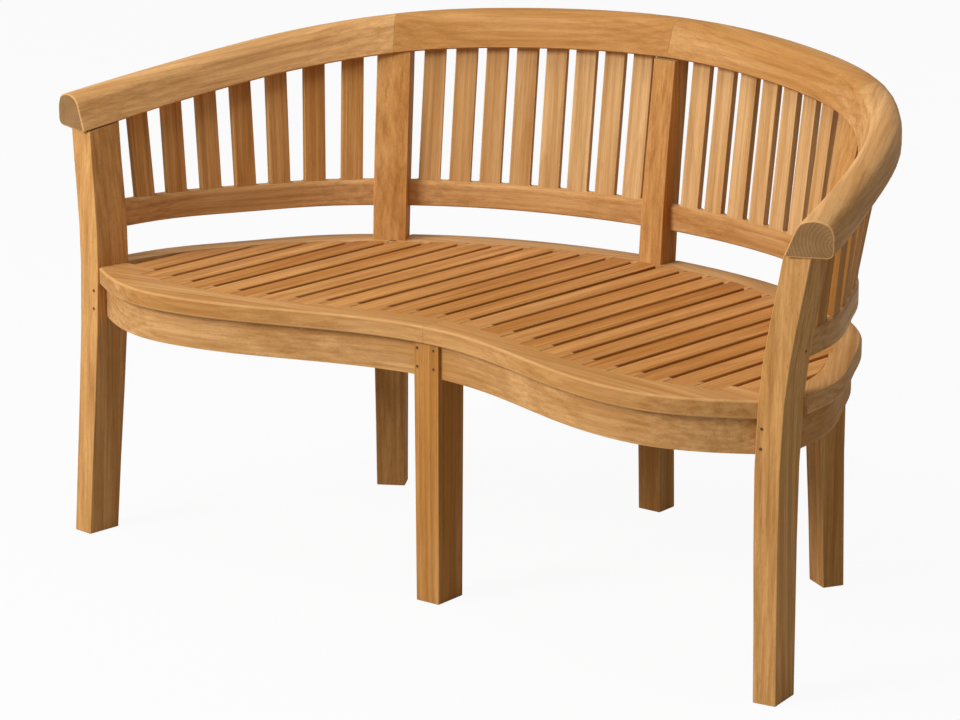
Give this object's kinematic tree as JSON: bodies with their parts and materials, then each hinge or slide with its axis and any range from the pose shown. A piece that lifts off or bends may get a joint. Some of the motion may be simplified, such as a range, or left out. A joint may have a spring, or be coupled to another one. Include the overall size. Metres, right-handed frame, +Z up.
{
  "type": "curved garden bench",
  "caption": "Curved teak garden bench: oval slatted seat with a wavy front edge, and a rounded top rail that runs round the back into both arms.",
  "frame": {"origin": "on the floor, under the middle of the bench's box", "axes": "+X along the bench to the sitter's left, which is the right in a view from the front; +Y to the rear; +Z up"},
  "size_m": [1.507, 0.828, 0.8336],
  "materials": {
    "post_teak": "oiled",
    "rail_teak": "oiled",
    "slat_teak": "oiled",
    "border_teak": "oiled",
    "apron_teak": "oiled"
  },
  "bodies": {
    "root": {"apron_back_left": "apron_teak", "apron_back_right": "apron_teak", "apron_front_left": "apron_teak", "apron_front_right": "apron_teak", "apron_side_left": "apron_teak", "apron_side_right": "apron_teak", "back_slat_1_left": "slat_teak", "back_slat_1_right": "slat_teak", "back_slat_2_left": "slat_teak", "back_slat_2_right": "slat_teak", "back_slat_3_left": "slat_teak", "back_slat_3_right": "slat_teak", "back_slat_4_left": "slat_teak", "back_slat_4_right": "slat_teak", "back_slat_5_left": "slat_teak", "back_slat_5_right": "slat_teak", "back_slat_6_left": "slat_teak", "back_slat_6_right": "slat_teak", "back_slat_7_left": "slat_teak", "back_slat_7_right": "slat_teak", "back_slat_8_left": "slat_teak", "back_slat_8_right": "slat_teak", "bearer": "apron_teak", "border_back_left": "border_teak", "border_back_right": "border_teak", "border_front_left": "border_teak", "border_front_right": "border_teak", "border_side_left": "border_teak", "border_side_right": "border_teak", "leg_front": "post_teak", "lower_rail_back_left": "rail_teak", "lower_rail_back_right": "rail_teak", "lower_rail_side_left": "rail_teak", "lower_rail_side_right": "rail_teak", "post_front_left": "post_teak", "post_front_right": "post_teak", "post_rear": "post_teak", "post_side_left": "post_teak", "post_side_right": "post_teak", "seat_panel_centre": "slat_teak", "seat_panel_side_left": "slat_teak", "seat_panel_side_right": "slat_teak", "side_slat_1_left": "slat_teak", "side_slat_1_right": "slat_teak", "side_slat_2_left": "slat_teak", "side_slat_2_right": "slat_teak", "side_slat_3_left": "slat_teak", "side_slat_3_right": "slat_teak", "side_slat_4_left": "slat_teak", "side_slat_4_right": "slat_teak", "side_slat_5_left": "slat_teak", "side_slat_5_right": "slat_teak", "side_slat_6_left": "slat_teak", "side_slat_6_right": "slat_teak", "side_slat_7_left": "slat_teak", "side_slat_7_right": "slat_teak", "top_rail_arm_left": "rail_teak", "top_rail_arm_right": "rail_teak", "top_rail_back_left": "rail_teak", "top_rail_back_right": "rail_teak"}
  },
  "joints": []
}
